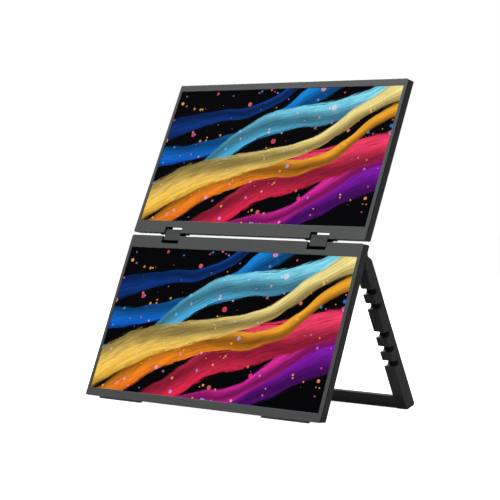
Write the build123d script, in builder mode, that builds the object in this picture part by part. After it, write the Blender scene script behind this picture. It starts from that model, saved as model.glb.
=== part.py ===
# Dual portable monitor: two screens on double-shaft hinges, propped by a fold-out U-shaped stand.
# X runs to the right, Y to the back and Z up. The origin is on the table, under the middle of the object.

import os
from math import cos, radians, sin, tan

from build123d import *

# How the object stands, in degrees
lean = 22.9
bend = 2.3
stand_angle = 55.4

# Picture, and the frame that is left round it
picture_width = 344.2
picture_height = 193.6
side_bezel = 4.4
chin = 17.1
lower_rim = 10.4
upper_rim = 9.3

# Casing of each screen, with ends that slant to run nearly level
case_depth = 14.5
case_wall = 1.6
case_corner = 2.0
end_slant = 18.5
back_round = 3.0
side_round = 1.2
screen_gap = 4.2
overrun = 2.0

# Front bezel and the shadow groove behind it
bezel_depth = 1.4
bezel_edge = 0.3
groove_depth = 0.8
groove_inset = 0.6

# Glass and backlight
glass_margin = 1.9
glass_depth = 1.2
backlight_depth = 2.8
panel_clearance = 0.3
ledge = 5.0

# Hinge blocks, their cut-outs and shafts
hinge_inset = 64.5
block_width = 24.0
block_height = 15.6
block_recess = 1.5
block_front_round = 0.6
block_back_round = 2.5
cut_width = 27.0
lower_cut = 10.1
upper_cut = 7.9
cut_flare = 6.0
axis_depth = 4.3
shaft_radius = 1.25
running_clearance = 0.05
press_clearance = 0.02

# Steel ears that grip the shafts, and their screws
ear_width = 8.0
ear_length = 10.0
ear_back = 8.0
ear_web = 1.4
ear_clearance = 0.1
ear_screw_inset = 6.8
ear_screw_radius = 1.0
ear_screw_head_radius = 1.9
ear_screw_head = 0.9
ear_screw_length = 9.0

# Driver board inside each casing
driver_width = 150.0
driver_height = 28.0
driver_depth = 1.2
driver_margin = 27.0
driver_drop = 60.0
driver_boss_radius = 2.4
driver_boss_height = 1.6
driver_boss_inset = 6.0
driver_chip_size = 14.0
driver_chip_depth = 1.6
driver_chip_pitch = 44.0

# Raised housing on the back of the lower screen
housing_gap = 2.0
housing_top = 24.0
housing_margin = 16.7
housing_depth = 12.0
housing_wall = 1.8
housing_corner = 10.0
housing_round = 4.0
slot_count = 9
slot_pitch = 5.0
slot_width = 2.0
slot_length = 12.0

# Housing screws and the posts that they go through
post_radius = 3.4
post_inset = 11.0
anchor_height = 4.6
housing_screw_radius = 1.3
housing_screw_head_radius = 2.4
housing_screw_head = 1.5
housing_screw_depth = 1.9
housing_screw_length = 13.0

# Main board, its switches, and the ribbon to the driver board
board_width = 105.0
board_gap = 5.0
board_margin = 10.0
board_depth = 1.6
board_lift = 2.0
board_boss_radius = 2.6
board_boss_inset = 6.0
board_screw_radius = 1.0
board_screw_head_radius = 2.0
board_screw_head = 1.2
board_screw_length = 3.0
chip_size = 22.0
chip_depth = 2.4
chip_pitch = 40.0
switch_width = 6.0
switch_length = 5.6
switch_height = 3.4
ribbon_width = 12.0
ribbon_thickness = 0.4
ribbon_foot = 3.0
ribbon_inset = 38.0
ribbon_room = 1.0

# Sockets in the side of the housing
port_clearance = 0.25
usb_width = 9.0
usb_height = 3.2
usb_length = 7.3
usb_wall = 0.4
usb_tongue_width = 6.7
usb_tongue_height = 0.7
usb_tongue_length = 5.0
hdmi_width = 11.2
hdmi_height = 3.2
hdmi_length = 7.5
hdmi_wall = 0.4
hdmi_tongue_width = 8.2
hdmi_tongue_height = 0.7
hdmi_tongue_length = 5.2
hdmi_slope = 60.0

# Power button and menu rocker
button_width = 9.0
button_height = 3.6
button_proud = 0.8
button_clearance = 0.3
flange_margin = 0.8
flange_depth = 0.8
flange_gap = 0.1
button_travel = 0.5
rocker_width = 15.0
rocker_swing = 3.0
trunnion_radius = 0.7
trunnion_length = 1.0
bearing_width = 3.2
bearing_depth = 1.9
bearing_height = 1.2

# Speaker boxes
speaker_width = 62.0
speaker_height = 18.0
speaker_margin = 37.0
speaker_inset = 5.0
speaker_clearance = 0.2
speaker_corner = 3.0

# Rubber feet under the lower screen
foot_rise = 1.8
foot_length = 65.0
foot_inset = 19.5
foot_width = 6.0
foot_setback = 8.2
foot_height = 6.0
foot_edge = 0.8

# Stand: pivot, lugs and pins
pivot_drop = 18.2
leg_depth = 16.6
leg_flare = 3.0
leg_width = 14.8
leg_gap = 0.5
lug_width = 4.0
lug_gap = 0.4
lug_root = 5.0
lug_fillet = 3.0
cheek_gap = 0.5
pin_radius = 2.5
pin_bite = 2.8
washer_radius = 6.5
washer_depth = 0.3
washer_clearance = 0.1

# Stand: notches, sole, crossbar and foot pads
notch_shares = (0.165, 0.269, 0.474, 0.580, 0.686)
notch_width = 7.6
notch_depth = 9.5
notch_tilt = 23.0
notch_lip = 3.0
sole_tilt = 20.0
toe_round = 3.0
heel_round = 3.0
bar_height = 18.5
bar_depth = 5.0
bar_edge = 1.0
pad_height = 20.0
pad_proud = 0.4
pad_sink = 1.2
pad_inner = 0.9
pad_outer = 2.0
pad_back = 11.0
pad_corner = 2.5


def up_of(angle):
    """Direction up a surface that leans back by an angle."""
    return Vector(0, sin(radians(angle)), cos(radians(angle)))


def back_of(angle):
    """Direction straight behind a surface that leans back by an angle."""
    return Vector(0, cos(radians(angle)), -sin(radians(angle)))


# Places that follow from the sizes above
right = Vector(1, 0, 0)
case_width = picture_width + 2 * side_bezel
lower_height = picture_height + chin + lower_rim
upper_height = picture_height + chin + upper_rim
slant_start = bezel_depth + groove_depth
end_shift = (case_depth - slant_start) * tan(radians(end_slant))
hinge_spread = case_width / 2 - hinge_inset
block_overlap = (block_height - screen_gap) / 2
axis_inset = block_overlap / 2
axis_span = screen_gap + 2 * axis_inset
glass_top = chin - glass_margin
glass_height = picture_height + 2 * glass_margin
glass_width = picture_width + 2 * glass_margin
panel_back = bezel_depth + glass_depth + backlight_depth
cavity_back = case_depth - case_wall
pivot_depth = case_depth + leg_gap + leg_depth / 2
leg_lean = stand_angle - lean
leg_half = leg_depth / 2
leg_outer = case_width / 2
leg_inner = leg_outer - leg_width
lug_inner = leg_outer - lug_width
housing_half_width = leg_inner - lug_gap - lug_width - housing_gap
housing_bottom = lower_height - housing_margin
socket_height = board_lift + board_depth + usb_height / 2
button_back = housing_half_width - housing_wall - flange_gap - flange_depth
notch_places = [share * (lower_height - pivot_drop) for share in notch_shares]
notch_reach = notch_depth - notch_width / 2
notch_fall = notch_reach * sin(radians(notch_tilt))
notch_run = notch_reach * cos(radians(notch_tilt))
side_places = [pivot_drop + place for place in notch_places]
power_place, rocker_place, usb_place_a, usb_place_b, hdmi_place = side_places
driver_shift = picture_width / 2 - driver_margin - driver_width / 2
board_right = housing_half_width - board_gap
board_left = board_right - board_width
board_top = power_place - board_margin
board_bottom = hdmi_place + board_margin
ribbon_place = board_left + ribbon_inset
speaker_spread = housing_half_width - speaker_margin - speaker_width / 2
foot_spread = case_width / 2 - foot_inset - foot_length / 2

# Height of the lower screen's front bottom edge, and of the stand's pivot
end_lean = lean - end_slant
back_run = back_round * tan(radians((90 - end_slant) / 2))
back_drop = case_depth * sin(radians(lean)) - end_shift * cos(radians(lean))
back_lift = back_run * sin(radians(end_lean)) - back_round * (1 - cos(radians(end_lean)))
sole_height = foot_rise + back_drop - back_lift
pivot_rise = (lower_height - pivot_drop) * up_of(lean) + pivot_depth * back_of(lean)

# Centres of the rounded toe and heel, along the leg from the pivot
pad_reach = toe_round + pad_proud
toe_offset = toe_round - leg_half - leg_flare
toe_drop = sole_height + pivot_rise.Z + toe_offset * sin(radians(leg_lean)) - pad_reach
toe_place = toe_drop / cos(radians(leg_lean))
toe_corner = toe_place + toe_round * (1 - sin(radians(sole_tilt))) / cos(radians(sole_tilt))
heel_rise = (leg_depth + leg_flare - heel_round) * sin(radians(sole_tilt)) - heel_round
heel_place = toe_corner + heel_rise / cos(radians(sole_tilt))
heel_run = heel_place * sin(radians(leg_lean)) + (leg_half - heel_round) * cos(radians(leg_lean))
heel_reach = heel_run + heel_round
front_reach = bezel_edge * sin(radians(lean))
front_place = -(pivot_rise.Y + heel_reach + front_reach) / 2
bar_top = toe_corner - bar_height
pad_top = toe_corner - pad_height

# Frames: each screen is drawn from its hinge edge, with its front face at zero
lower_corner = Vector(0, front_place, sole_height)
lower_edge = lower_corner + lower_height * up_of(lean)
lower_axis = lower_edge - axis_inset * up_of(lean) + axis_depth * back_of(lean)
block_lean = lean + bend / 2
upper_lean = lean + bend
upper_axis = lower_axis + axis_span * up_of(block_lean)
upper_edge = upper_axis - axis_inset * up_of(upper_lean) - axis_depth * back_of(upper_lean)
block_middle = (lower_axis + upper_axis) / 2 - axis_depth * back_of(block_lean)
pivot = lower_corner + pivot_rise

lower = Plane(origin=lower_edge, x_dir=-right, z_dir=-back_of(lean))
upper = Plane(origin=upper_edge, x_dir=right, z_dir=-back_of(upper_lean))
back = Plane(origin=lower_edge + case_depth * back_of(lean), x_dir=right, z_dir=back_of(lean))
leg_frame = Plane(origin=pivot, x_dir=-up_of(-leg_lean), z_dir=right)
lug_frame = Plane(origin=pivot, x_dir=-up_of(lean), z_dir=right)
block_frame = Plane(origin=block_middle, x_dir=up_of(block_lean), z_dir=right)


def side_section(screen):
    """Plane across a screen, with its first axis away from the hinge and its second to the front."""
    return Plane(origin=screen.origin, x_dir=screen.y_dir, z_dir=screen.x_dir)


def end_section(screen):
    """Plane across a screen, with its first axis to the front and its second along the hinge."""
    return Plane(origin=screen.origin, x_dir=screen.z_dir, z_dir=screen.y_dir)


def housing_side(place):
    """Plane across the housing, with its first axis down the screen and its second to the back."""
    return Plane(origin=back.origin + place * right, x_dir=back.y_dir, z_dir=right)


def save(piece, name):
    """Names a finished piece and writes it."""
    piece.part.label = name
    export_step(piece.part, f"parts/{name}.step")


def case_outline(height, inset=0):
    """Front outline of a casing, drawn from its hinge edge."""
    with BuildSketch() as outline:
        with Locations((0, height / 2)):
            RectangleRounded(case_width - 2 * inset, height - 2 * inset, case_corner)
    return outline.sketch


def corner_waste(height):
    """What the rounding takes off the four corners of a casing's front outline, with an overrun outside."""
    with BuildSketch() as waste:
        with Locations((0, height / 2)):
            Rectangle(case_width + 2 * overrun, height + 2 * overrun)
            Rectangle(case_width - 2 * case_corner, height + 3 * overrun, mode=Mode.SUBTRACT)
            Rectangle(case_width + 3 * overrun, height - 2 * case_corner, mode=Mode.SUBTRACT)
            with GridLocations(case_width - 2 * case_corner, height - 2 * case_corner, 2, 2):
                Circle(case_corner, mode=Mode.SUBTRACT)
    return waste.sketch


def case_block(screen, height, shift, front):
    """Casing as a solid block from a depth to its rounded back, which is shifted along the screen."""
    run = (slant_start - case_depth) * screen.z_dir + shift * screen.y_dir
    with BuildPart() as block:
        with BuildSketch(side_section(screen)) as profile:
            with BuildLine():
                Polyline(
                    (0, -front),
                    (0, -slant_start),
                    (shift, -case_depth),
                    (height + shift, -case_depth),
                    (height, -slant_start),
                    (height, -front),
                    close=True,
                )
            make_face()
            fillet(profile.vertices().sort_by(Axis.Y)[:2], back_round)
        extrude(amount=case_width, both=True)
        with BuildSketch(end_section(screen)):
            with Locations((side_round - case_depth / 2, 0)):
                RectangleRounded(case_depth + 2 * side_round, case_width, side_round)
        extrude(amount=2 * height, both=True, mode=Mode.INTERSECT)
        with BuildSketch(screen.offset(-slant_start)):
            add(corner_waste(height))
        extrude(amount=2 * run.length, dir=run, mode=Mode.SUBTRACT)
    return block.part


def hinge_cuts(screen, depth):
    """Two openings in a screen's hinge edge, flared to the back so that the blocks can turn."""
    start = -end_shift - overrun
    with BuildPart() as cuts:
        for middle in (-hinge_spread, hinge_spread):
            with BuildSketch(side_section(screen).offset(middle - cut_width / 2)):
                with BuildLine():
                    Polyline(
                        (start, overrun),
                        (depth, overrun),
                        (depth, 0),
                        (depth + cut_flare, -case_depth),
                        (depth + cut_flare, -case_depth - overrun),
                        (start, -case_depth - overrun),
                        close=True,
                    )
                make_face()
            extrude(amount=cut_width)
    return cuts.part


def ear_places():
    """Distance of each ear's near side from the middle of the screen, both hinges."""
    reach = cut_width / 2 + ear_web
    return [m + s for m in (-hinge_spread, hinge_spread) for s in (-reach - ear_width, reach)]


def make_bezel(screen, height, cut):
    """Frame round the picture."""
    with BuildPart() as bezel:
        with BuildSketch(screen):
            add(case_outline(height))
            with Locations((0, chin + picture_height / 2)):
                Rectangle(picture_width, picture_height, mode=Mode.SUBTRACT)
        extrude(amount=-bezel_depth)
        add(hinge_cuts(screen, cut), mode=Mode.SUBTRACT)
        front_edges = bezel.faces().sort_by(Axis(screen.origin, screen.z_dir))[-1].edges()
        chamfer(front_edges, bezel_edge)
    return bezel


def make_glass(screen):
    """Sheet that shows the picture."""
    with BuildPart() as glass:
        with BuildSketch(screen.offset(-bezel_depth)):
            with Locations((0, glass_top + glass_height / 2)):
                Rectangle(glass_width, glass_height)
        extrude(amount=-glass_depth)
    return glass


def make_backlight(screen):
    """Light guide and reflector tray."""
    with BuildPart() as backlight:
        with BuildSketch(screen.offset(-bezel_depth - glass_depth)):
            with Locations((0, glass_top + glass_height / 2)):
                Rectangle(glass_width, glass_height)
        extrude(amount=-backlight_depth)
    return backlight


def make_shell(screen, height, shift, cut):
    """Back casing: a tray with a ledge for the panel and pockets for the hinge ears."""
    with BuildPart() as shell:
        add(case_block(screen, height, shift, bezel_depth))
        with BuildSketch(screen.offset(-bezel_depth)):
            with Locations((0, height / 2)):
                Rectangle(case_width + 2 * overrun, height + 2 * overrun)
            add(case_outline(height, groove_inset), mode=Mode.SUBTRACT)
        extrude(amount=-groove_depth, mode=Mode.SUBTRACT)
        add(hinge_cuts(screen, cut), mode=Mode.SUBTRACT)
        with BuildSketch(screen.offset(-bezel_depth)):
            with Locations((0, glass_top + glass_height / 2)):
                Rectangle(glass_width + 2 * panel_clearance, glass_height + 2 * panel_clearance)
        extrude(amount=bezel_depth - panel_back, mode=Mode.SUBTRACT)
        with BuildSketch(screen.offset(-panel_back)):
            with Locations((0, glass_top + glass_height / 2)):
                Rectangle(glass_width - 2 * ledge, glass_height - 2 * ledge)
        extrude(amount=panel_back - cavity_back, mode=Mode.SUBTRACT)
        with BuildSketch(screen.offset(-cavity_back)):
            with Locations((-driver_shift, driver_drop)):
                with GridLocations(
                    driver_width - 2 * driver_boss_inset, driver_height - 2 * driver_boss_inset, 2, 2
                ):
                    Circle(driver_boss_radius)
        extrude(amount=driver_boss_height)
        for place in ear_places():
            with BuildSketch(side_section(screen).offset(place - ear_clearance)):
                with Locations((0, -bezel_depth)):
                    Rectangle(2 * (ear_length + ear_clearance), 2 * (ear_back - bezel_depth))
            extrude(amount=ear_width + 2 * ear_clearance, mode=Mode.SUBTRACT)
        reach = cut_width / 2 + ear_web + ear_width / 2
        for middle in (-hinge_spread, hinge_spread):
            with BuildSketch(side_section(screen).offset(middle - reach)):
                Rectangle(
                    2 * (axis_inset + shaft_radius + panel_clearance),
                    2 * (axis_depth + shaft_radius + panel_clearance),
                )
            extrude(amount=2 * reach, mode=Mode.SUBTRACT)
        with BuildSketch(screen.offset(-bezel_depth)):
            with Locations(*ear_screw_spots()):
                Circle(ear_screw_radius + press_clearance)
        extrude(amount=-ear_screw_length, mode=Mode.SUBTRACT)
    return shell


def ear_screw_spots():
    """Places of the ear screws on a screen."""
    return [(place + ear_width / 2, ear_screw_inset) for place in ear_places()]


def make_ears(screen):
    """Four steel ears, two for each hinge."""
    with BuildPart() as ears:
        for place in ear_places():
            with BuildSketch(side_section(screen).offset(place)):
                with Locations((ear_length / 2, -(bezel_depth + ear_back) / 2)):
                    Rectangle(ear_length, ear_back - bezel_depth)
                with Locations((axis_inset, -axis_depth)):
                    Circle(shaft_radius + press_clearance, mode=Mode.SUBTRACT)
            extrude(amount=ear_width)
        with Locations(screen.offset(-bezel_depth)):
            with Locations(*ear_screw_spots()):
                CounterSinkHole(ear_screw_radius + press_clearance, ear_screw_head_radius)
    return ears


def make_shafts(screen):
    """Two shafts, one through each hinge."""
    reach = cut_width / 2 + ear_web + ear_width
    with BuildPart() as shafts:
        for middle in (-hinge_spread, hinge_spread):
            with BuildSketch(side_section(screen).offset(middle - reach)):
                with Locations((axis_inset, -axis_depth)):
                    Circle(shaft_radius)
            extrude(amount=2 * reach)
    return shafts


def make_ear_screws(screen):
    """Countersunk screws that hold the ears."""
    with BuildPart() as screws:
        with BuildSketch(screen.offset(-bezel_depth)):
            with Locations(*ear_screw_spots()):
                Circle(ear_screw_radius)
        extrude(amount=-ear_screw_length)
        for spot in ear_screw_spots():
            with BuildSketch(screen.offset(-bezel_depth)) as top:
                with Locations(spot):
                    Circle(ear_screw_head_radius - press_clearance)
            with BuildSketch(screen.offset(-bezel_depth - ear_screw_head)) as tip:
                with Locations(spot):
                    Circle(ear_screw_radius)
            loft([top.sketch.face(), tip.sketch.face()])
    return screws


def make_driver_board(screen):
    """Panel driver board with a row of chips on the side that faces the backlight."""
    board_back = cavity_back - driver_boss_height
    with BuildPart() as board:
        with BuildSketch(screen.offset(-board_back)):
            with Locations((-driver_shift, driver_drop)):
                Rectangle(driver_width, driver_height)
        extrude(amount=driver_depth)
        with BuildSketch(screen.offset(driver_depth - board_back)):
            with Locations((-driver_shift, driver_drop)):
                with GridLocations(driver_chip_pitch, driver_height, 3, 1):
                    Rectangle(driver_chip_size, driver_chip_size)
        extrude(amount=driver_chip_depth)
    return board


def make_block(middle):
    """Hinge block with a bore for each of its two shafts."""
    with BuildPart() as block:
        with BuildSketch(block_frame.offset(middle - block_width / 2)) as profile:
            with Locations((0, -(case_depth + block_recess) / 2)):
                Rectangle(block_height, case_depth - block_recess)
            ends = profile.vertices().sort_by(Axis.Y)
            fillet(ends[:2], block_back_round)
            fillet(profile.vertices().sort_by(Axis.Y)[-2:], block_front_round)
            with Locations((-axis_span / 2, -axis_depth), (axis_span / 2, -axis_depth)):
                Circle(shaft_radius + running_clearance, mode=Mode.SUBTRACT)
        extrude(amount=block_width)
    return block


def leg_outline(grow=0):
    """Side outline of a leg with its sole, drawn from the pivot and grown on all sides."""
    half = leg_half + grow
    toe = toe_round + grow
    heel = heel_round + grow
    along = sin(radians(sole_tilt))
    across = cos(radians(sole_tilt))
    front_end = (toe_place, -half - leg_flare)
    toe_end = (toe_place + toe * across, toe_offset - toe * along)
    heel_start = (heel_place + heel * across, leg_half - heel_round - heel * along)
    with BuildSketch() as outline:
        with BuildLine():
            Line((0, -half), front_end)
            TangentArc(front_end, toe_end, tangent=(1, 0))
            Line(toe_end, heel_start)
            TangentArc(heel_start, (heel_place, half), tangent=(along, across))
            Line((heel_place, half), (0, half))
            ThreePointArc((0, half), (-half, 0), (0, -half))
        make_face()
    return outline.sketch


def pad_band():
    """Side outline of a foot pad: a band round the toe, part sunk in the leg and part proud of it."""
    with BuildSketch() as band:
        add(leg_outline(pad_proud))
        add(leg_outline(-pad_sink), mode=Mode.SUBTRACT)
        with Locations((pad_top + pad_height, -leg_half - leg_flare)):
            Rectangle(2 * pad_height, 2 * pad_back, mode=Mode.INTERSECT)
    return band.sketch


def leg_start(side):
    """Lower X of a leg on the right (1) or left (-1) side."""
    return leg_inner if side > 0 else -leg_outer


def pad_start(side):
    """Lower X of a foot pad on the right (1) or left (-1) side."""
    return leg_inner + pad_inner if side > 0 else -leg_outer + pad_outer


def make_pads():
    """Two rubber pads round the toes of the stand."""
    width = leg_width - pad_inner - pad_outer
    with BuildPart() as pads:
        for side in (1, -1):
            with BuildSketch(leg_frame.offset(pad_start(side))):
                add(pad_band())
            extrude(amount=width)
        ends = pads.edges().filter_by(Axis(pivot, leg_frame.y_dir))
        fillet(ends.group_by(Axis(pivot, leg_frame.x_dir))[0], pad_corner)
    return pads


def make_leg(side, pads):
    """Notched leg, recessed for its lug, pin and pad."""
    with BuildPart() as leg:
        with BuildSketch(leg_frame.offset(leg_start(side))) as profile:
            add(leg_outline())
            with Locations(*[(place, -leg_half) for place in notch_places]):
                Rectangle(notch_width, 2 * notch_reach, rotation=-notch_tilt, mode=Mode.SUBTRACT)
            with Locations(*[(place + notch_fall, notch_run - leg_half) for place in notch_places]):
                Circle(notch_width / 2, mode=Mode.SUBTRACT)
            lips = [(place - notch_width / 2, -leg_half) for place in notch_places]
            fillet([profile.vertices().sort_by_distance(lip)[0] for lip in lips], notch_lip)
            Circle(pin_radius + running_clearance, mode=Mode.SUBTRACT)
        extrude(amount=leg_width)
        cheek = lug_inner - lug_gap if side > 0 else -leg_outer - overrun
        with BuildSketch(leg_frame.offset(cheek)):
            Circle(leg_half + cheek_gap)
        extrude(amount=lug_width + lug_gap + overrun, mode=Mode.SUBTRACT)
        add(pads.part, mode=Mode.SUBTRACT)
    return leg


def make_crossbar():
    """Bar between the legs, flush with their front and sole."""
    with BuildPart() as bar:
        with BuildSketch(leg_frame.offset(-leg_inner)) as profile:
            add(leg_outline())
            with Locations((bar_top + bar_height, bar_depth / 2 - leg_half - leg_flare)):
                Rectangle(2 * bar_height, bar_depth, mode=Mode.INTERSECT)
            fillet(profile.vertices().sort_by(Axis.X)[:2], bar_edge)
        extrude(amount=2 * leg_inner)
    return bar


def lug_outline():
    """Side outline of a stand lug: a round end on a stem that flows into the back of the casing."""
    root = case_depth - pivot_depth - lug_root
    wall = case_depth - pivot_depth
    half = leg_half
    diagonal = half * sin(radians(45))
    bulge = lug_fillet * (1 - sin(radians(45)))
    with BuildSketch() as outline:
        with BuildLine():
            Polyline((0, -half), (0, root), (-half - lug_fillet, root), (-half - lug_fillet, wall))
            ThreePointArc(
                (-half - lug_fillet, wall),
                (-half - bulge, wall + bulge),
                (-half, wall + lug_fillet),
            )
            Line((-half, wall + lug_fillet), (-half, 0))
            ThreePointArc((-half, 0), (diagonal, diagonal), (0, -half))
        make_face()
    return outline.sketch


def lug_starts():
    """Lower X of each lug: an inner and an outer one for each leg."""
    inner = leg_inner - lug_gap - lug_width
    return [lug_inner, inner, -inner - lug_width, -leg_outer]


def pin_start(side):
    """Lower X of a pivot pin on the right (1) or left (-1) side."""
    return leg_inner - lug_gap - pin_bite if side > 0 else -lug_inner - pin_bite


pin_length = leg_width - lug_width + lug_gap + 2 * pin_bite


os.makedirs("parts", exist_ok=True)

# Pieces that both screens have
for screen, height, cut, name in (
    (lower, lower_height, lower_cut, "lower"),
    (upper, upper_height, upper_cut, "upper"),
):
    save(make_bezel(screen, height, cut), f"{name}_front_bezel")
    save(make_glass(screen), f"{name}_lcd_panel")
    save(make_backlight(screen), f"{name}_backlight_unit")
    save(make_driver_board(screen), f"{name}_driver_board")
    save(make_ears(screen), f"{name}_hinge_ears")
    save(make_shafts(screen), f"{name}_hinge_shafts")
    save(make_ear_screws(screen), f"{name}_hinge_screws")

# Upper casing
save(make_shell(upper, upper_height, end_shift, upper_cut), "upper_rear_shell")

# Hinge blocks
save(make_block(-hinge_spread), "hinge_block_left")
save(make_block(hinge_spread), "hinge_block_right")

# Places shared by the lower casing, the housing and the main board
post_spots = [
    (x, y)
    for x in (post_inset - housing_half_width, housing_half_width - post_inset)
    for y in (housing_top + post_inset, housing_bottom - post_inset)
]
board_spots = [
    (x, y)
    for x in (board_left + board_boss_inset, board_right - 2 * board_boss_inset)
    for y in (board_top + board_boss_inset, board_bottom - board_boss_inset)
]
screw_seat = housing_depth - housing_screw_depth
ribbon_spot = (ribbon_place, driver_drop)
rocker_axis = housing_half_width - housing_wall - trunnion_radius - flange_gap
rocker_start = rocker_axis - trunnion_radius
rocker_dip = rocker_width / 2 * sin(radians(rocker_swing))
ribbon_length = board_lift + case_depth - cavity_back + driver_boss_height

# Lower casing, with lugs for the stand, seats for the board and anchors for the housing's screws
with BuildPart() as lower_rear_shell:
    add(make_shell(lower, lower_height, -end_shift, lower_cut).part)
    for start in lug_starts():
        with BuildSketch(lug_frame.offset(start)):
            add(lug_outline())
        extrude(amount=lug_width)
    for side in (1, -1):
        with BuildSketch(lug_frame.offset(pin_start(side))):
            Circle(pin_radius + press_clearance)
        extrude(amount=pin_length, mode=Mode.SUBTRACT)
    with BuildSketch(back):
        with Locations(*board_spots):
            Circle(board_boss_radius)
    extrude(amount=board_lift)
    with BuildSketch(back.offset(-case_wall)):
        with Locations(*post_spots):
            Circle(post_radius)
    extrude(amount=-anchor_height)
    with BuildSketch(back.offset(board_lift)):
        with Locations(*board_spots):
            Circle(board_screw_radius + press_clearance)
    extrude(amount=-board_screw_length, mode=Mode.SUBTRACT)
    with BuildSketch(back.offset(screw_seat)):
        with Locations(*post_spots):
            Circle(housing_screw_radius + press_clearance)
    extrude(amount=-housing_screw_length, mode=Mode.SUBTRACT)
    with BuildSketch(back):
        with Locations(ribbon_spot):
            Rectangle(ribbon_width + 2 * ribbon_room, 2 * ribbon_foot)
    extrude(amount=-case_wall, mode=Mode.SUBTRACT)
save(lower_rear_shell, "lower_rear_shell")

# Raised housing with openings for the sockets and controls
with BuildPart() as rear_housing:
    with BuildSketch(back):
        with Locations((0, (housing_top + housing_bottom) / 2)):
            RectangleRounded(2 * housing_half_width, housing_bottom - housing_top, housing_corner)
    extrude(amount=housing_depth)
    fillet(rear_housing.faces().sort_by(Axis(back.origin, back.z_dir))[-1].edges(), housing_round)
    with BuildSketch(back):
        with Locations((0, (housing_top + housing_bottom) / 2)):
            RectangleRounded(
                2 * (housing_half_width - housing_wall),
                housing_bottom - housing_top - 2 * housing_wall,
                housing_corner - housing_wall,
            )
    extrude(amount=housing_depth - housing_wall, mode=Mode.SUBTRACT)
    with BuildSketch(back):
        with Locations(*post_spots):
            Circle(post_radius)
    extrude(amount=housing_depth - housing_wall)
    with BuildSketch(back.offset(screw_seat)):
        with Locations(*post_spots):
            Circle(housing_screw_head_radius + panel_clearance)
    extrude(amount=housing_screw_depth, mode=Mode.SUBTRACT)
    with BuildSketch(back):
        with Locations(*post_spots):
            Circle(housing_screw_radius + press_clearance)
    extrude(amount=housing_depth, mode=Mode.SUBTRACT)
    with BuildSketch(back):
        for middle in (-speaker_spread, speaker_spread):
            with Locations((middle, housing_bottom - speaker_inset - speaker_height / 2)):
                with GridLocations(slot_pitch, slot_pitch, slot_count, 1):
                    SlotOverall(slot_length, slot_width, rotation=90)
    extrude(amount=housing_depth, mode=Mode.SUBTRACT)
    for lift in (-button_height / 2 - flange_gap - bearing_height, button_height / 2 + flange_gap):
        with BuildSketch(back.offset(socket_height + lift)):
            with Locations((housing_half_width - housing_wall, rocker_place)):
                Rectangle(2 * bearing_depth, bearing_width)
            with Locations((rocker_axis, rocker_place)):
                Circle(trunnion_radius + running_clearance, mode=Mode.SUBTRACT)
            with Locations((housing_half_width - housing_wall - bearing_depth, rocker_place)):
                Rectangle(2 * bearing_depth, bearing_width, mode=Mode.INTERSECT)
        extrude(amount=bearing_height)
    with BuildSketch(housing_side(housing_half_width - housing_wall)):
        with Locations((usb_place_a, socket_height), (usb_place_b, socket_height)):
            SlotOverall(usb_width + 2 * port_clearance, usb_height + 2 * port_clearance)
        with Locations((hdmi_place, socket_height)):
            Rectangle(hdmi_width + 2 * port_clearance, hdmi_height + 2 * port_clearance)
        with Locations((power_place, socket_height)):
            SlotOverall(button_width + 2 * button_clearance, button_height + 2 * button_clearance)
        with Locations((rocker_place, socket_height)):
            SlotOverall(rocker_width + 2 * button_clearance, button_height + 2 * button_clearance)
    extrude(amount=housing_wall, mode=Mode.SUBTRACT)
save(rear_housing, "rear_housing")

# Main board with its chips and the two side-push switches
switch_end = button_back - button_travel - flange_gap
with BuildPart() as main_board:
    with BuildSketch(back.offset(board_lift)):
        with Locations(((board_left + board_right) / 2, (board_top + board_bottom) / 2)):
            Rectangle(board_right - board_left, board_bottom - board_top)
    extrude(amount=board_depth)
    with BuildSketch(back.offset(board_lift + board_depth)):
        with Locations(((board_left + board_right) / 2, (board_top + board_bottom) / 2)):
            with GridLocations(chip_pitch, chip_pitch, 2, 2):
                Rectangle(chip_size, chip_size)
    extrude(amount=chip_depth)
    with BuildSketch(back.offset(board_lift + board_depth)):
        with Locations((switch_end - switch_length / 2, power_place)):
            Rectangle(switch_length, switch_width)
        for place in (rocker_place - switch_width, rocker_place + switch_width):
            with Locations((rocker_start - rocker_dip - flange_gap - switch_length / 2, place)):
                Rectangle(switch_length, switch_width)
    extrude(amount=switch_height)
    with BuildSketch(back.offset(board_lift)):
        with Locations(*board_spots):
            Circle(board_screw_radius + press_clearance)
    extrude(amount=board_depth, mode=Mode.SUBTRACT)
save(main_board, "main_board")

# Flat ribbon from the driver board through the casing to the main board
with BuildPart() as display_ribbon:
    with BuildSketch(housing_side(ribbon_place - ribbon_width / 2)):
        with Locations((driver_drop, board_lift - ribbon_length / 2)):
            Rectangle(ribbon_thickness, ribbon_length)
        with Locations((driver_drop - ribbon_foot / 2, board_lift - ribbon_thickness / 2)):
            Rectangle(ribbon_foot, ribbon_thickness)
        with Locations((driver_drop + ribbon_foot / 2, board_lift - ribbon_length + ribbon_thickness / 2)):
            Rectangle(ribbon_foot, ribbon_thickness)
    extrude(amount=ribbon_width)
save(display_ribbon, "display_ribbon")

# USB sockets: a flat tube with a tongue
usb_start = housing_half_width - usb_length
with BuildPart() as usb_c_ports:
    with BuildSketch(housing_side(usb_start)):
        with Locations((usb_place_a, socket_height), (usb_place_b, socket_height)):
            SlotOverall(usb_width, usb_height)
    extrude(amount=usb_length)
    with BuildSketch(housing_side(usb_start + usb_wall)):
        with Locations((usb_place_a, socket_height), (usb_place_b, socket_height)):
            SlotOverall(usb_width - 2 * usb_wall, usb_height - 2 * usb_wall)
    extrude(amount=usb_length, mode=Mode.SUBTRACT)
    with BuildSketch(housing_side(usb_start + usb_wall)):
        with Locations((usb_place_a, socket_height), (usb_place_b, socket_height)):
            Rectangle(usb_tongue_width, usb_tongue_height)
    extrude(amount=usb_tongue_length)
save(usb_c_ports, "usb_c_ports")

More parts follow.
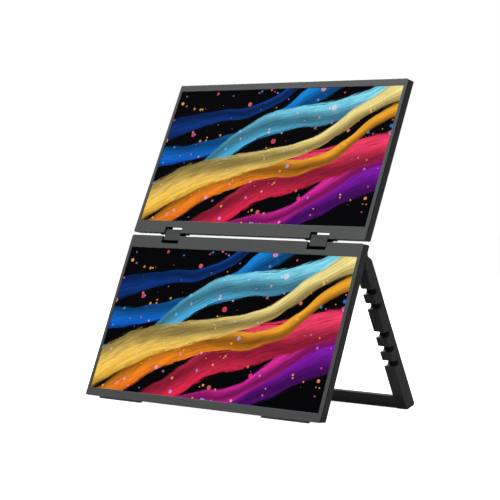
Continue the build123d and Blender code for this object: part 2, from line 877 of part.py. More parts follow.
# Video socket: a tapered tube with a tongue
hdmi_start = housing_half_width - hdmi_length
with BuildPart() as mini_hdmi_port:
    with BuildSketch(housing_side(hdmi_start)):
        with Locations((hdmi_place, socket_height)):
            Trapezoid(hdmi_width, hdmi_height, hdmi_slope)
    extrude(amount=hdmi_length)
    with BuildSketch(housing_side(hdmi_start + hdmi_wall)):
        with Locations((hdmi_place, socket_height)):
            Trapezoid(hdmi_width - 4 * hdmi_wall, hdmi_height - 2 * hdmi_wall, hdmi_slope)
    extrude(amount=hdmi_length, mode=Mode.SUBTRACT)
    with BuildSketch(housing_side(hdmi_start + hdmi_wall)):
        with Locations((hdmi_place, socket_height)):
            Rectangle(hdmi_tongue_width, hdmi_tongue_height)
    extrude(amount=hdmi_tongue_length)
save(mini_hdmi_port, "mini_hdmi_port")

# Power button: a cap with a flange that keeps it in the wall
with BuildPart() as power_button:
    with BuildSketch(housing_side(button_back)):
        with Locations((power_place, socket_height)):
            SlotOverall(button_width + 2 * flange_margin, button_height + 2 * flange_margin)
    extrude(amount=flange_depth)
    with BuildSketch(housing_side(button_back)):
        with Locations((power_place, socket_height)):
            SlotOverall(button_width, button_height)
    extrude(amount=housing_half_width + button_proud - button_back)
save(power_button, "power_button")

# Menu rocker: a longer cap on two trunnions
with BuildPart() as menu_rocker:
    with BuildSketch(housing_side(rocker_start)):
        with Locations((rocker_place, socket_height)):
            SlotOverall(rocker_width, button_height)
    extrude(amount=housing_half_width + button_proud - rocker_start)
    with BuildSketch(back.offset(socket_height)):
        with Locations((rocker_axis, rocker_place)):
            Circle(trunnion_radius)
    extrude(amount=button_height / 2 + trunnion_length, both=True)
save(menu_rocker, "menu_rocker")

# Speaker boxes behind the slots
with BuildPart() as speakers:
    with BuildSketch(back):
        for middle in (-speaker_spread, speaker_spread):
            with Locations((middle, housing_bottom - speaker_inset - speaker_height / 2)):
                RectangleRounded(speaker_width, speaker_height, speaker_corner)
    extrude(amount=housing_depth - housing_wall - speaker_clearance)
save(speakers, "speakers")

# Screws of the housing and of the main board
with BuildPart() as housing_screws:
    with BuildSketch(back.offset(screw_seat)):
        with Locations(*post_spots):
            Circle(housing_screw_head_radius)
    extrude(amount=housing_screw_head)
    with BuildSketch(back.offset(screw_seat)):
        with Locations(*post_spots):
            Circle(housing_screw_radius)
    extrude(amount=-housing_screw_length)
save(housing_screws, "housing_screws")

with BuildPart() as board_screws:
    with BuildSketch(back.offset(board_lift + board_depth)):
        with Locations(*board_spots):
            Circle(board_screw_head_radius)
    extrude(amount=board_screw_head)
    with BuildSketch(back.offset(board_lift + board_depth)):
        with Locations(*board_spots):
            Circle(board_screw_radius)
    extrude(amount=-board_screw_length)
save(board_screws, "board_screws")

# Rubber feet, cut to the rounded bottom edge of the casing
with BuildPart() as rubber_feet:
    for middle in (-foot_spread, foot_spread):
        with BuildSketch(Plane.YZ.offset(middle - foot_length / 2)) as profile:
            with Locations((front_place + foot_setback, foot_height / 2)):
                Rectangle(foot_width, foot_height)
            fillet(profile.vertices().sort_by(Axis.Y)[:2], foot_edge)
        extrude(amount=foot_length)
    add(case_block(lower, lower_height, -end_shift, bezel_depth), mode=Mode.SUBTRACT)
save(rubber_feet, "rubber_feet")

# Stand
stand_foot_pads = make_pads()
save(stand_foot_pads, "stand_foot_pads")
save(make_leg(-1, stand_foot_pads), "stand_leg_left")
save(make_leg(1, stand_foot_pads), "stand_leg_right")
save(make_crossbar(), "stand_crossbar")

# Pivot pins and friction washers of the stand
with BuildPart() as stand_pins:
    for side in (1, -1):
        with BuildSketch(lug_frame.offset(pin_start(side))):
            Circle(pin_radius)
        extrude(amount=pin_length)
save(stand_pins, "stand_pins")

inner_start = leg_inner - lug_gap
washer_starts = [lug_inner - washer_depth, inner_start, -inner_start - washer_depth, -lug_inner]
with BuildPart() as stand_washers:
    for start in washer_starts:
        with BuildSketch(lug_frame.offset(start)):
            Circle(washer_radius)
            Circle(pin_radius + washer_clearance, mode=Mode.SUBTRACT)
        extrude(amount=washer_depth)
save(stand_washers, "stand_washers")
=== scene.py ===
from math import cos, radians, sin

import bmesh
import bpy
from mathutils import Matrix, Vector


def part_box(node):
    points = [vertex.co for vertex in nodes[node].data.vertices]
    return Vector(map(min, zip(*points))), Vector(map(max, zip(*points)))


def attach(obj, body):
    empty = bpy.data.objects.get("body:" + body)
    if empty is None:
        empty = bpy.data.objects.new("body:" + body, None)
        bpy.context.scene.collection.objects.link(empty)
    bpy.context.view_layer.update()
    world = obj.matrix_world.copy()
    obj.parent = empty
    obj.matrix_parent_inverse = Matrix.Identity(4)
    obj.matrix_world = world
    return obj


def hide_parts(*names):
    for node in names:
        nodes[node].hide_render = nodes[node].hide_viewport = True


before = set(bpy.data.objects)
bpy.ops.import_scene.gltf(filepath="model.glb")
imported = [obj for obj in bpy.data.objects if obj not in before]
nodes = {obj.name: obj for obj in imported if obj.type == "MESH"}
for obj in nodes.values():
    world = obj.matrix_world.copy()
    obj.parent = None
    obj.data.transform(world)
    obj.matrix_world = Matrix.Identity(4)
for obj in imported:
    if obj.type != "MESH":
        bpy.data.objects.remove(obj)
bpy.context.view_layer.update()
scene = bpy.context.scene

MM = 0.001
RIGHT = Vector((1, 0, 0))
WHITE = (1.0, 1.0, 1.0, 1.0)

# Lean of each screen and of the hinge blocks between them, in degrees, and the size of a picture
LEANS = {"lower": 22.9, "upper": 25.2}
BLOCK_LEAN = sum(LEANS.values()) / 2
PICTURE_SIZE = (344.2 * MM, 193.6 * MM)

# Painted shade, dark and dull: in the hinge cut-outs, in the groove behind each bezel and on the hinge
# blocks' top, bottom and sides; the same colour for the black plastic cores of the sockets
SHADE_AND_CORE_BLACK = (0.005, 0.005, 0.005)
CUT_WIDTH = 27.0 * MM
CUT_MARGIN = 0.1 * MM
CUT_REACH = 20.0 * MM
GROOVE_START = 1.35 * MM
GROOVE_END = 2.7 * MM
TONGUE_HALF = 0.37 * MM
TONGUE_SETBACK = 1.8 * MM
SOCKET_WALL = 0.45 * MM
FACING_EDGE = (0.6, 0.8)

# Crossed recess in the heads of the housing screws
HEAD_RADIUS = 2.4 * MM
CROSS_HALF_WIDTH = 0.3 * MM
CROSS_HALF_LENGTH = 1.2 * MM
CROSS_DEPTH = 0.8 * MM

# Edges: corners closer than the weld become one, and a turn beyond the angle counts as an edge
WELD = 0.002 * MM
EDGE_ANGLE = radians(35.0)
ROUNDING_SEGMENTS = 2
SHARP = 0.0
FINE = 0.2 * MM
SOFT = 2 * FINE

# Noise: the range that most of it falls in, and its detail and roughness in a moulded finish
NOISE_RANGE = (0.3, 0.7)
NOISE_MIDDLE = 0.5
GRAIN_DETAIL = (3.0, 0.6)
DRIFT_SCALE = 14.0
DRIFT_DETAIL = (4.0, 0.55)
GLOSS_SWING = 0.05
BUMP_STRENGTH = 0.35

# Metal: lines along and across its grain, and how far they change its shade and roughness
LINES_ALONG = 60.0
LINES_ACROSS = 4000.0
METAL_SHADES = (0.88, 1.1)
METAL_SWING = (-0.06, 0.08)

# Circuit board: copper runs under the solder mask
BOARD_GREEN = (0.006, 0.055, 0.02)
BOARD_ROUGHNESS = 0.35
RUN_SCALE = 240.0
RUN_EDGE = (0.3, 0.36)
RUN_GAIN = 1.6

# Surface of the screens
SCREEN_GLOW = 1.0
SCREEN_BLACK = (0.0015, 0.0015, 0.002, 1.0)
SCREEN_SPECULAR = 0.005
FROST_SCALE = 6000.0
FROST_ROUGHNESS = (0.3, 0.4)

MOULDED = {
    # colour, roughness, width and height of the grain, specular level, drift in colour
    "bezel_satin": ((0.037, 0.039, 0.039), 0.52, 0.35 * MM, 0.02 * MM, 0.25, 0.1),
    "casing_satin": ((0.020, 0.0205, 0.0205), 0.55, 0.4 * MM, 0.03 * MM, 0.04, 0.1),
    "hinge_block_paint": ((0.037, 0.039, 0.039), 0.48, 0.3 * MM, 0.015 * MM, 0.15, 0.1),
    "stand_satin": ((0.020, 0.020, 0.0205), 0.55, 0.4 * MM, 0.03 * MM, 0.04, 0.1),
    # Painted light: the feet are far lighter than the other dark rubber and plastic, so that their
    # downward faces look lit.
    "foot_rubber_painted_light": ((0.150, 0.152, 0.152), 0.85, 0.6 * MM, 0.06 * MM, 0.15, 0.1),
    "pad_rubber": ((0.011, 0.011, 0.011), 0.85, 0.6 * MM, 0.06 * MM, 0.12, 0.1),
    "black_moulding": ((0.014, 0.014, 0.015), 0.6, 0.3 * MM, 0.02 * MM, 0.25, 0.1),
    "reflector_white": ((0.75, 0.75, 0.74), 0.6, 0.5 * MM, 0.01 * MM, 0.4, 0.02),
}
METALS = {
    # colour, roughness
    "turned_steel": ((0.42, 0.42, 0.43), 0.34),
    "plated_socket": ((0.58, 0.58, 0.60), 0.26),
    "housing_screw_steel": ((0.15, 0.15, 0.155), 0.36),
    "blackened_steel": ((0.030, 0.030, 0.031), 0.42),
}

# Finish and edge rounding of the pieces that each screen has, and of the single pieces
SCREEN_DRESSING = {
    "front_bezel": ("bezel_satin", SHARP),
    "backlight_unit": ("reflector_white", SHARP),
    "driver_board": ("solder_mask", SHARP),
    "hinge_ears": ("blackened_steel", FINE),
    "hinge_shafts": ("blackened_steel", SHARP),
    "hinge_screws": ("turned_steel", SHARP),
}
DRESSING = {
    "hinge_block_left": ("hinge_block_paint", FINE),
    "hinge_block_right": ("hinge_block_paint", FINE),
    "rear_housing": ("casing_satin", SHARP),
    "main_board": ("solder_mask", SHARP),
    "display_ribbon": ("black_moulding", SHARP),
    "power_button": ("black_moulding", FINE),
    "menu_rocker": ("black_moulding", FINE),
    "speakers": ("black_moulding", FINE),
    "board_screws": ("turned_steel", FINE),
    "rubber_feet": ("foot_rubber_painted_light", FINE),
    "stand_leg_left": ("stand_satin", SOFT),
    "stand_leg_right": ("stand_satin", SOFT),
    "stand_crossbar": ("stand_satin", SOFT),
    "stand_foot_pads": ("pad_rubber", FINE),
    "stand_pins": ("turned_steel", SHARP),
    "stand_washers": ("turned_steel", SHARP),
}
SOCKETS = ("usb_c_ports", "mini_hdmi_port")

# Picture on the screens: frayed silk ribbons that sweep from corner to corner over black
RIBBONS = (
    # centre, width, wave, beats, phase, first colour, second colour
    (0.57, 0.060, 0.060, 2.1, 0.4, (0.004, 0.02, 0.14), (0.002, 0.08, 0.42)),
    (0.40, 0.085, 0.075, 1.7, 1.9, (0.003, 0.08, 0.50), (0.01, 0.30, 0.85)),
    (0.27, 0.070, 0.065, 2.3, 3.1, (0.01, 0.40, 0.88), (0.25, 0.78, 0.96)),
    (-0.47, 0.075, 0.060, 1.8, 2.2, (0.07, 0.004, 0.18), (0.24, 0.01, 0.42)),
    (-0.33, 0.085, 0.070, 2.0, 0.9, (0.48, 0.01, 0.32), (0.88, 0.03, 0.40)),
    (-0.19, 0.090, 0.060, 1.6, 4.0, (0.76, 0.01, 0.05), (0.94, 0.05, 0.14)),
    (-0.03, 0.070, 0.075, 2.2, 5.2, (0.92, 0.18, 0.01), (0.98, 0.44, 0.03)),
    (0.11, 0.085, 0.070, 1.9, 0.1, (0.96, 0.54, 0.05), (0.99, 0.84, 0.32)),
)
GROUND = (0.0, 0.0, 0.0, 1.0)
SWEEP = radians(24.0)
ASPECT = PICTURE_SIZE[0] / PICTURE_SIZE[1]
PICTURE_MIDDLE = 0.5
WARP_SCALE = 1.6
WARP_SHARE = 0.16
BEAT_RATE = 2.0
SWELL_RATE = 1.3
SWELL_LEAD = 1.0
SWELL_SHARE = 0.4
THREADS_ALONG = 1.1
THREADS_ACROSS = 1.6
STRAND_NOISE = (6.0, 6.0, 0.72)
STRAND_LIGHT = (0.45, 1.3)
FRAY = 1.1
RIBBON_EDGE = (1.0, 0.9)
FOLDS_ALONG = 3.0
FOLDS_ACROSS = 2.4
FOLD_LIGHT = (0.3, 1.0)
TURN_ALONG = 0.55
TURN_ACROSS = 0.35
TURN_RANGE = (-0.2, 1.1)

# Dots of light over the ribbons
DOTS = (
    # cells over the height, smallest and largest share of a cell
    (11.0, -0.14, 0.20),
    (24.0, -0.12, 0.22),
)
DOT_SIZE_NOISE = 31.0
DOT_SIZE_RANGE = (0.35, 0.65)
DOT_COLOUR_NOISE = 17.0
DOT_BLUE = (0.38, (0.01, 0.32, 0.90, 1.0))
DOT_RED = (0.5, (0.85, 0.02, 0.16, 1.0))
DOT_ORANGE = (0.62, (0.98, 0.45, 0.05, 1.0))
RING_WIDTH = (0.4, 1.0)
RING_LIGHT = (0.55, 1.0)
DOT_STRENGTH = 0.9

# Floor, background and lamps
WORLD_SEEN = 1.0
WORLD_LIT = 0.16
FLOOR_HALF = 30.0
FLOOR_GREY = (0.35, 0.35, 0.35, 1.0)
FLOOR_SEEN = 0.945
FLOOR_LIT = 0.0
LAMP_TARGET = Vector((0, 0, 0.2))
LAMPS = {
    # place, width, watts
    "top": ((0.4, -1.0, 2.3), 1.6, 60.0),
    "front": ((0.4, -2.8, 0.8), 1.2, 8.0),
    "rim": ((-1.1, 0.9, 2.1), 1.4, 150.0),
    "rear": ((-0.5, 2.3, 1.0), 1.2, 30.0),
}

# Camera at the photograph's angle
AZIMUTH = radians(35.26)
ELEVATION = radians(1.35)
ROLL = radians(-1.6)
CAMERA_PLACE = Vector((1.0909, -1.54942, 0.23744))
FOCAL_PIXELS = 1504.0
IMAGE_PIXELS = 500.0
SENSOR = 36.0

# Sockets of a Mix node in its colour form: share, first and second colour, and the result
MIX_INPUTS = (0, 6, 7)
MIX_RESULT = 2


# Small helpers that build shader graphs
def fill(tree, socket, value):
    """Gives a socket a value or a link."""
    if isinstance(value, bpy.types.NodeSocket):
        tree.links.new(value, socket)
    else:
        socket.default_value = value


def put(tree, kind, inputs=None, **settings):
    """Adds a node, sets its options and fills its sockets with values or links."""
    made = tree.nodes.new(kind)
    for key, value in settings.items():
        setattr(made, key, value)
    for key, value in (inputs or {}).items():
        fill(tree, made.inputs[key], value)
    return made


def calc(tree, operation, *values, clamp=False):
    """Adds a math node and returns its result."""
    inputs = dict(enumerate(values))
    return put(tree, "ShaderNodeMath", inputs, operation=operation, use_clamp=clamp).outputs[0]


def dot(tree, first, second):
    """Dot product of two vectors."""
    made = put(tree, "ShaderNodeVectorMath", {0: first, 1: second}, operation="DOT_PRODUCT")
    return made.outputs["Value"]


def scaled(tree, colour, gain):
    """Colour times a value."""
    made = put(tree, "ShaderNodeVectorMath", {0: colour, "Scale": gain}, operation="SCALE")
    return made.outputs["Vector"]


def split(tree, vector):
    """Parts of a vector, by the names of their axes."""
    return put(tree, "ShaderNodeSeparateXYZ", {"Vector": vector}).outputs


def joined(tree, **parts):
    """Vector of the given parts, by the names of their axes."""
    return put(tree, "ShaderNodeCombineXYZ", parts).outputs["Vector"]


def spread(tree, value, low, high, to_low=0.0, to_high=1.0, smooth=False):
    """Maps a value from one range to another, clamped."""
    kind = "SMOOTHSTEP" if smooth else "LINEAR"
    inputs = {"Value": value, "From Min": low, "From Max": high, "To Min": to_low, "To Max": to_high}
    return put(tree, "ShaderNodeMapRange", inputs, interpolation_type=kind).outputs["Result"]


def blend(tree, share, first, second, kind="MIX"):
    """Mixes two colours."""
    inputs = dict(zip(MIX_INPUTS, (share, first, second)))
    return put(tree, "ShaderNodeMix", inputs, data_type="RGBA", blend_type=kind).outputs[MIX_RESULT]


def noise(tree, where, scale, detail=2.0, rough=0.5):
    """Adds a noise texture and returns its strength."""
    inputs = {"Vector": where, "Scale": scale, "Detail": detail, "Roughness": rough}
    return put(tree, "ShaderNodeTexNoise", inputs).outputs["Fac"]


def shaded_place(tree):
    """Place of the shaded point, in the part's frame at rest."""
    return put(tree, "ShaderNodeTexCoord").outputs["Object"]


def rgba(colour, gain=1.0):
    """Colour with a full alpha, made lighter or darker."""
    return (*[c * gain for c in colour], 1.0)


def new_material(name):
    """New material with its graph and main shader's sockets."""
    made = bpy.data.materials.new(name)
    made.use_nodes = True
    tree = made.node_tree
    return made, tree, tree.nodes["Principled BSDF"].inputs


# Directions and distances in the part's frame
def panel_axes(lean):
    """Directions up along a leaning screen and straight to its back."""
    rise, run = cos(radians(lean)), sin(radians(lean))
    return Vector((0, run, rise)), Vector((0, rise, -run))


def reach_along(node, direction):
    """Least and greatest distance of a CAD node along a direction."""
    steps = [corner.co.dot(direction) for corner in nodes[node].data.vertices]
    return min(steps), max(steps)


# Finishes
def moulded(name, colour, rough, grain, relief, specular, drift):
    """Moulded or painted finish: fine grain in the relief and gloss, slow drift in the colour."""
    made, tree, shader = new_material(name)
    where = shaded_place(tree)
    fine = noise(tree, where, 1 / grain, *GRAIN_DETAIL)
    broad = noise(tree, where, DRIFT_SCALE, *DRIFT_DETAIL)
    tone = spread(tree, broad, *NOISE_RANGE)
    tint = blend(tree, tone, rgba(colour, 1 - drift), rgba(colour, 1 + drift))
    fill(tree, shader["Base Color"], tint)
    gloss = spread(tree, fine, *NOISE_RANGE, rough - GLOSS_SWING, rough + GLOSS_SWING)
    fill(tree, shader["Roughness"], gloss)
    bump = put(tree, "ShaderNodeBump", {"Height": fine, "Strength": BUMP_STRENGTH, "Distance": relief})
    fill(tree, shader["Normal"], bump.outputs["Normal"])
    fill(tree, shader["Specular IOR Level"], specular)
    return made


def metal(name, colour, rough):
    """Bare metal with fine drawn lines from left to right."""
    made, tree, shader = new_material(name)
    stretch = {"Vector": shaded_place(tree), "Scale": (LINES_ALONG, LINES_ACROSS, LINES_ACROSS)}
    lines = put(tree, "ShaderNodeMapping", stretch).outputs["Vector"]
    fine = noise(tree, lines, scale=1.0)
    dark, light = [rgba(colour, shade) for shade in METAL_SHADES]
    fill(tree, shader["Base Color"], blend(tree, fine, dark, light))
    gloss = spread(tree, fine, *NOISE_RANGE, *[rough + swing for swing in METAL_SWING])
    fill(tree, shader["Roughness"], gloss)
    fill(tree, shader["Metallic"], 1.0)
    return made


def circuit(name, colour):
    """Solder mask with copper runs under it."""
    made, tree, shader = new_material(name)
    inputs = {"Vector": shaded_place(tree), "Scale": RUN_SCALE}
    cells = put(tree, "ShaderNodeTexVoronoi", inputs, distance="CHEBYCHEV")
    runs = spread(tree, cells.outputs["Distance"], *RUN_EDGE)
    fill(tree, shader["Base Color"], blend(tree, runs, rgba(colour, RUN_GAIN), rgba(colour)))
    fill(tree, shader["Roughness"], BOARD_ROUGHNESS)
    return made


# Bare places of a finish
def paint_shade_and_cores(made, share):
    """Paints a dull dark colour where a share is one: painted shade in recesses and on the hinge blocks'
    sides, and the black plastic of the socket cores.
    """
    tree = made.node_tree
    shader = tree.nodes["Principled BSDF"].inputs
    base, gloss = shader["Base Color"], shader["Specular IOR Level"]
    painted = base.links[0].from_socket
    fill(tree, base, blend(tree, share, painted, rgba(SHADE_AND_CORE_BLACK)))
    full = gloss.links[0].from_socket if gloss.is_linked else gloss.default_value
    fill(tree, gloss, calc(tree, "MULTIPLY", full, calc(tree, "SUBTRACT", 1.0, share)))


def front_or_back(tree):
    """One on the faces that look to the front or the back, and zero on the rest."""
    facing = put(tree, "ShaderNodeTexCoord").outputs["Normal"]
    straight = dot(tree, facing, panel_axes(BLOCK_LEAN)[1])
    return spread(tree, calc(tree, "ABSOLUTE", straight), *FACING_EDGE)


def hinge_cut_shade_share(tree):
    """One on the inner faces of the hinge cut-outs, the place of their painted shade."""
    low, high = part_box("hinge_block_right")
    middle = (low + high) / 2
    parts = split(tree, shaded_place(tree))
    aside = calc(tree, "SUBTRACT", calc(tree, "ABSOLUTE", parts["X"]), middle.x)
    inside = calc(tree, "LESS_THAN", calc(tree, "ABSOLUTE", aside), CUT_WIDTH / 2 + CUT_MARGIN)
    depth = calc(tree, "SUBTRACT", parts["Y"], middle.y)
    rise = calc(tree, "SUBTRACT", parts["Z"], middle.z)
    squares = calc(tree, "MULTIPLY_ADD", depth, depth, calc(tree, "MULTIPLY", rise, rise))
    near = calc(tree, "LESS_THAN", squares, CUT_REACH ** 2)
    return calc(tree, "SUBTRACT", calc(tree, "MULTIPLY", inside, near), front_or_back(tree), clamp=True)


def groove_shade_share(tree, bezel, lean):
    """One in the shadow groove between a bezel and its shell, the place of its painted shade."""
    back = panel_axes(lean)[1]
    front = reach_along(bezel, back)[0]
    depth = dot(tree, shaded_place(tree), back)
    behind = calc(tree, "GREATER_THAN", depth, front + GROOVE_START)
    return calc(tree, "MULTIPLY", behind, calc(tree, "LESS_THAN", depth, front + GROOVE_END))


def socket_core_share(tree, node):
    """One on a socket's tongue and the wall at its end, both black plastic."""
    back = panel_axes(LEANS["lower"])[1]
    end, mouth = reach_along(node, RIGHT)
    low, high = reach_along(node, back)
    where = shaded_place(tree)
    across = dot(tree, where, RIGHT)
    depth = calc(tree, "ABSOLUTE", calc(tree, "SUBTRACT", dot(tree, where, back), (low + high) / 2))
    tongue = calc(tree, "LESS_THAN", depth, TONGUE_HALF)
    tongue = calc(tree, "MULTIPLY", tongue, calc(tree, "LESS_THAN", across, mouth - TONGUE_SETBACK))
    return calc(tree, "MAXIMUM", tongue, calc(tree, "LESS_THAN", across, end + SOCKET_WALL))


# Picture and screens
def ribbon(tree, along, across, warp, ground, shape):
    """Lays one ribbon over what is there."""
    centre, width, wave, beats, phase, first, second = shape
    beat = calc(tree, "SINE", calc(tree, "MULTIPLY_ADD", along, beats * BEAT_RATE, phase))
    line = calc(tree, "MULTIPLY_ADD", beat, wave, centre)
    line = calc(tree, "MULTIPLY_ADD", warp, WARP_SHARE, line)
    swell = calc(tree, "SINE", calc(tree, "MULTIPLY_ADD", along, beats * SWELL_RATE, phase + SWELL_LEAD))
    breadth = calc(tree, "MULTIPLY_ADD", swell, width * SWELL_SHARE, width)
    reach = calc(tree, "DIVIDE", calc(tree, "SUBTRACT", across, line), breadth)
    lengthwise = calc(tree, "MULTIPLY", along, THREADS_ALONG)
    crosswise = calc(tree, "MULTIPLY", reach, THREADS_ACROSS)
    strand = noise(tree, joined(tree, X=lengthwise, Y=crosswise, Z=phase), *STRAND_NOISE)
    frayed = calc(tree, "SUBTRACT", strand, NOISE_MIDDLE)
    edge = calc(tree, "MULTIPLY_ADD", frayed, FRAY, calc(tree, "ABSOLUTE", reach))
    body = spread(tree, edge, *RIBBON_EDGE, smooth=True)
    bend = calc(tree, "MULTIPLY_ADD", along, FOLDS_ALONG, calc(tree, "MULTIPLY", reach, FOLDS_ACROSS))
    light = spread(tree, calc(tree, "COSINE", bend), -1.0, 1.0, *FOLD_LIGHT)
    light = calc(tree, "MULTIPLY", light, spread(tree, strand, *NOISE_RANGE, *STRAND_LIGHT))
    turn = calc(tree, "MULTIPLY_ADD", reach, TURN_ACROSS, calc(tree, "MULTIPLY", along, TURN_ALONG))
    silk = blend(tree, spread(tree, turn, *TURN_RANGE), rgba(first), rgba(second))
    return blend(tree, body, ground, scaled(tree, silk, light))


def dots_of_light(tree, flow, ground, shape):
    """Adds scattered rings of light of one size range to what is there."""
    cells, least, most = shape
    dots = put(tree, "ShaderNodeTexVoronoi", {"Vector": flow, "Scale": cells, "Randomness": 1.0})
    middle, gap = dots.outputs["Position"], dots.outputs["Distance"]
    size = spread(tree, noise(tree, middle, DOT_SIZE_NOISE, detail=0.0), *DOT_SIZE_RANGE, least, most)
    disc = calc(tree, "LESS_THAN", gap, size)
    glow = put(tree, "ShaderNodeValToRGB", {"Fac": noise(tree, middle, DOT_COLOUR_NOISE, detail=0.0)})
    stops = glow.color_ramp.elements
    stops[0].position, stops[0].color = DOT_BLUE
    stops[1].position, stops[1].color = DOT_ORANGE
    stops.new(DOT_RED[0]).color = DOT_RED[1]
    ring = spread(tree, calc(tree, "DIVIDE", gap, size), *RING_WIDTH, *RING_LIGHT)
    light = scaled(tree, glow.outputs["Color"], calc(tree, "MULTIPLY", disc, ring))
    return blend(tree, DOT_STRENGTH, ground, light, "SCREEN")


def picture_group():
    """Node group that turns a place on the screen, from 0 to 1 each way, into its colour."""
    tree = bpy.data.node_groups.new("screen_picture", "ShaderNodeTree")
    tree.interface.new_socket("Place", in_out="INPUT", socket_type="NodeSocketVector")
    tree.interface.new_socket("Color", in_out="OUTPUT", socket_type="NodeSocketColor")
    parts = split(tree, tree.nodes.new("NodeGroupInput").outputs["Place"])
    wide = calc(tree, "MULTIPLY", parts["X"], ASPECT)
    tall = parts["Y"]
    along = calc(tree, "MULTIPLY_ADD", wide, cos(SWEEP), calc(tree, "MULTIPLY", tall, sin(SWEEP)))
    across = calc(tree, "MULTIPLY_ADD", wide, -sin(SWEEP), calc(tree, "MULTIPLY", tall, cos(SWEEP)))
    flow = joined(tree, X=along, Y=across)
    warp = calc(tree, "SUBTRACT", noise(tree, flow, WARP_SCALE), NOISE_MIDDLE)
    colour = GROUND
    for shape in RIBBONS:
        colour = ribbon(tree, along, across, warp, colour, shape)
    for shape in DOTS:
        colour = dots_of_light(tree, flow, colour, shape)
    fill(tree, tree.nodes.new("NodeGroupOutput").inputs["Color"], colour)
    return tree


def screen_material(name, panel, lean, picture):
    """Lit screen: the picture glows, and the surface has a soft anti-glare gloss."""
    made, tree, shader = new_material(name)
    low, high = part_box(panel)
    where = shaded_place(tree)
    inputs = {0: where, 1: (low + high) / 2}
    arm = put(tree, "ShaderNodeVectorMath", inputs, operation="SUBTRACT").outputs["Vector"]
    rise = dot(tree, arm, panel_axes(lean)[0])
    aside = split(tree, arm)["X"]
    across = calc(tree, "MULTIPLY_ADD", aside, 1 / PICTURE_SIZE[0], PICTURE_MIDDLE)
    upward = calc(tree, "MULTIPLY_ADD", rise, 1 / PICTURE_SIZE[1], PICTURE_MIDDLE)
    shown = put(tree, "ShaderNodeGroup", node_tree=picture)
    fill(tree, shown.inputs["Place"], joined(tree, X=across, Y=upward))
    fill(tree, shader["Emission Color"], shown.outputs["Color"])
    fill(tree, shader["Emission Strength"], SCREEN_GLOW)
    fill(tree, shader["Base Color"], SCREEN_BLACK)
    fill(tree, shader["Specular IOR Level"], SCREEN_SPECULAR)
    frost = noise(tree, where, FROST_SCALE, detail=1.0)
    fill(tree, shader["Roughness"], spread(tree, frost, *NOISE_RANGE, *FROST_ROUGHNESS))
    return made


# Pieces of the part
def add_object(name, data):
    """Adds an object to the scene."""
    made = bpy.data.objects.new(name, data)
    scene.collection.objects.link(made)
    return made


def wear(mesh, finish):
    """Makes a finish a mesh's only one."""
    mesh.materials.clear()
    mesh.materials.append(finish)


def weld(shown):
    """Joins the corners that neighbouring faces share."""
    shown.modifiers.new("weld", "WELD").merge_threshold = WELD


def dress(name, finish, bevel=SHARP):
    """Gives a CAD node its finish and, where asked, softly rounded edges."""
    shown = nodes[name]
    wear(shown.data, finish)
    if bevel:
        weld(shown)
        rounding = shown.modifiers.new("rounding", "BEVEL")
        rounding.width = bevel
        rounding.segments = ROUNDING_SEGMENTS
        rounding.limit_method = "ANGLE"
        rounding.angle_limit = EDGE_ANGLE
        rounding.use_clamp_overlap = True
        rounding.harden_normals = True


def cross_corners(middle, up, back):
    """Outline of a crossed recess above a screw's head, and the same outline sunk into it."""
    arm, half = CROSS_HALF_LENGTH, CROSS_HALF_WIDTH
    quarter = [(arm, -half), (arm, half), (half, half)]
    flat = []
    for _ in range(4):
        flat += quarter
        quarter = [(-y, x) for x, y in quarter]
    sides = (CROSS_DEPTH, -CROSS_DEPTH)
    return [middle + x * RIGHT + y * up + lift * back for lift in sides for x, y in flat]


def cross_mesh(name):
    """Mesh of the crosses that are cut out of the heads of four screws."""
    up, back = panel_axes(LEANS["lower"])
    far = reach_along(name, RIGHT)[1] - HEAD_RADIUS
    low, high = reach_along(name, up)
    outer = reach_along(name, back)[1]
    corners, faces = [], []
    for across in (-far, far):
        for rise in (low + HEAD_RADIUS, high - HEAD_RADIUS):
            first = len(corners)
            corners += cross_corners(across * RIGHT + rise * up + outer * back, up, back)
            count = (len(corners) - first) // 2
            faces.append([first + n for n in range(count)])
            faces.append([first + count + n for n in reversed(range(count))])
            for n in range(count):
                after = (n + 1) % count
                faces.append([first + after, first + n, first + count + n, first + count + after])
    made = bpy.data.meshes.new("recess")
    made.from_pydata(corners, [], faces)
    shape = bmesh.new()
    shape.from_mesh(made)
    bmesh.ops.recalc_face_normals(shape, faces=shape.faces)
    shape.to_mesh(made)
    shape.free()
    return made


def crossed_screws(name, finish):
    """Puts screws with a crossed recess in each head in the place of four plain ones."""
    cutter = add_object("recess", cross_mesh(name))
    made = add_object("crossed_housing_screws", nodes[name].data.copy())
    weld(made)
    cut = made.modifiers.new("recess", "BOOLEAN")
    cut.operation = "DIFFERENCE"
    cut.solver = "EXACT"
    cut.object = cutter
    bpy.context.view_layer.update()
    result = made.evaluated_get(bpy.context.evaluated_depsgraph_get())
    shaped = bpy.data.meshes.new_from_object(result)
    made.modifiers.clear()
    made.data = shaped
    bpy.data.objects.remove(cutter)
    wear(shaped, finish)
    shaped.shade_smooth()
    shaped.set_sharp_from_angle(angle=EDGE_ANGLE)
    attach(made, "lower_monitor")
    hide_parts(name)


# Every finish, with its painted shade in the hinge cut-outs and on the hinge blocks' sides
finishes = {name: moulded(name, *looks) for name, looks in MOULDED.items()}
finishes |= {name: metal(name, *looks) for name, looks in METALS.items()}
finishes["solder_mask"] = circuit("solder_mask", BOARD_GREEN)
bezel_finish = finishes["bezel_satin"]
# Painted shade: the bezel's faces inside the hinge cut-outs are painted dark and dull.
paint_shade_and_cores(bezel_finish, hinge_cut_shade_share(bezel_finish.node_tree))
# Painted shade: the hinge blocks keep their paint on the front and back, and their top, bottom and sides
# are painted dark and dull.
hinge_finish = finishes["hinge_block_paint"]
hinge_tree = hinge_finish.node_tree
paint_shade_and_cores(hinge_finish, calc(hinge_tree, "SUBTRACT", 1.0, front_or_back(hinge_tree)))

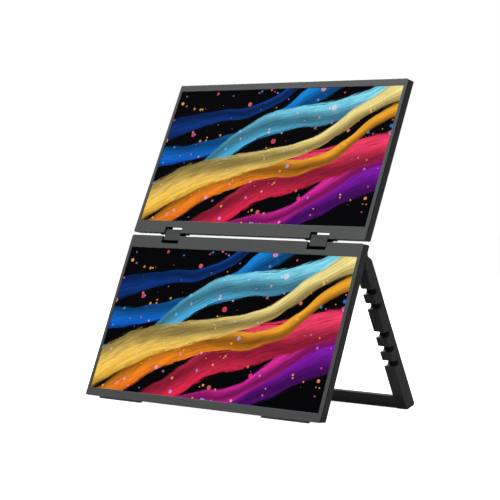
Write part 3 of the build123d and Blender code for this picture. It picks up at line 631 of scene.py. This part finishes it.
# Pieces of both screens, then the single ones
picture = picture_group()
for level, lean in LEANS.items():
    for piece, (finish, bevel) in SCREEN_DRESSING.items():
        dress(f"{level}_{piece}", finishes[finish], bevel)
    shell_finish = finishes["casing_satin"].copy()
    shell_finish.name = f"{level}_casing_satin"
    # Painted shade: each shell is painted dark and dull inside the hinge cut-outs and in the groove
    # behind its bezel.
    paint_shade_and_cores(shell_finish, hinge_cut_shade_share(shell_finish.node_tree))
    paint_shade_and_cores(shell_finish, groove_shade_share(shell_finish.node_tree, f"{level}_front_bezel", lean))
    dress(f"{level}_rear_shell", shell_finish)
    panel = f"{level}_lcd_panel"
    dress(panel, screen_material(f"{level}_screen", panel, lean, picture))
for piece, (finish, bevel) in DRESSING.items():
    dress(piece, finishes[finish], bevel)
for piece in SOCKETS:
    socket_finish = finishes["plated_socket"].copy()
    socket_finish.name = f"{piece}_plating"
    paint_shade_and_cores(socket_finish, socket_core_share(socket_finish.node_tree, piece))
    dress(piece, socket_finish)
crossed_screws("housing_screws", finishes["housing_screw_steel"])


# Floor, background and light
def backdrop_strength(tree, seen, lit):
    """One strength to the camera, mirrors and glass, and another as light on everything else."""
    path = put(tree, "ShaderNodeLightPath").outputs
    direct = calc(tree, "MAXIMUM", path["Is Camera Ray"], path["Is Glossy Ray"])
    direct = calc(tree, "MAXIMUM", direct, path["Is Transmission Ray"])
    return calc(tree, "MULTIPLY_ADD", direct, seen - lit, lit)


def lamp(name, place, size, watts):
    """Large soft lamp aimed at the object."""
    light = bpy.data.lights.new(name, "AREA")
    light.shape = "SQUARE"
    light.size = size
    light.energy = watts
    holder = add_object(name, light)
    holder.location = place
    holder.rotation_euler = (LAMP_TARGET - Vector(place)).to_track_quat("-Z", "Y").to_euler()


world = bpy.data.worlds.new("studio")
scene.world = world
world.use_nodes = True
world_tree = world.node_tree
surround = world_tree.nodes["Background"].inputs
fill(world_tree, surround["Color"], WHITE)
fill(world_tree, surround["Strength"], backdrop_strength(world_tree, WORLD_SEEN, WORLD_LIT))

floor_mesh = bpy.data.meshes.new("floor")
corners = [(x * FLOOR_HALF, y * FLOOR_HALF, 0) for x, y in ((-1, -1), (1, -1), (1, 1), (-1, 1))]
floor_mesh.from_pydata(corners, [], [(0, 1, 2, 3)])
floor = add_object("floor", floor_mesh)
floor_finish, floor_tree, floor_shader = new_material("floor_white")
fill(floor_tree, floor_shader["Base Color"], FLOOR_GREY)
fill(floor_tree, floor_shader["Roughness"], 1.0)
fill(floor_tree, floor_shader["Specular IOR Level"], 0.0)
fill(floor_tree, floor_shader["Emission Color"], WHITE)
fill(floor_tree, floor_shader["Emission Strength"], backdrop_strength(floor_tree, FLOOR_SEEN, FLOOR_LIT))
floor_mesh.materials.append(floor_finish)

for name, looks in LAMPS.items():
    lamp(name, *looks)

# Camera
backward = Vector((sin(AZIMUTH) * cos(ELEVATION), -cos(AZIMUTH) * cos(ELEVATION), sin(ELEVATION)))
level_right = (-backward).cross(Vector((0, 0, 1))).normalized()
level_down = (-backward).cross(level_right)
turned_right = cos(ROLL) * level_right + sin(ROLL) * level_down
turned_up = sin(ROLL) * level_right - cos(ROLL) * level_down
camera_data = bpy.data.cameras.new("camera")
camera_data.sensor_width = SENSOR
camera_data.lens = FOCAL_PIXELS / IMAGE_PIXELS * SENSOR
camera = add_object("camera", camera_data)
turn = Matrix((turned_right, turned_up, backward)).transposed().to_4x4()
camera.matrix_world = Matrix.Translation(CAMERA_PLACE) @ turn
scene.camera = camera
scene.view_settings.view_transform = "Standard"
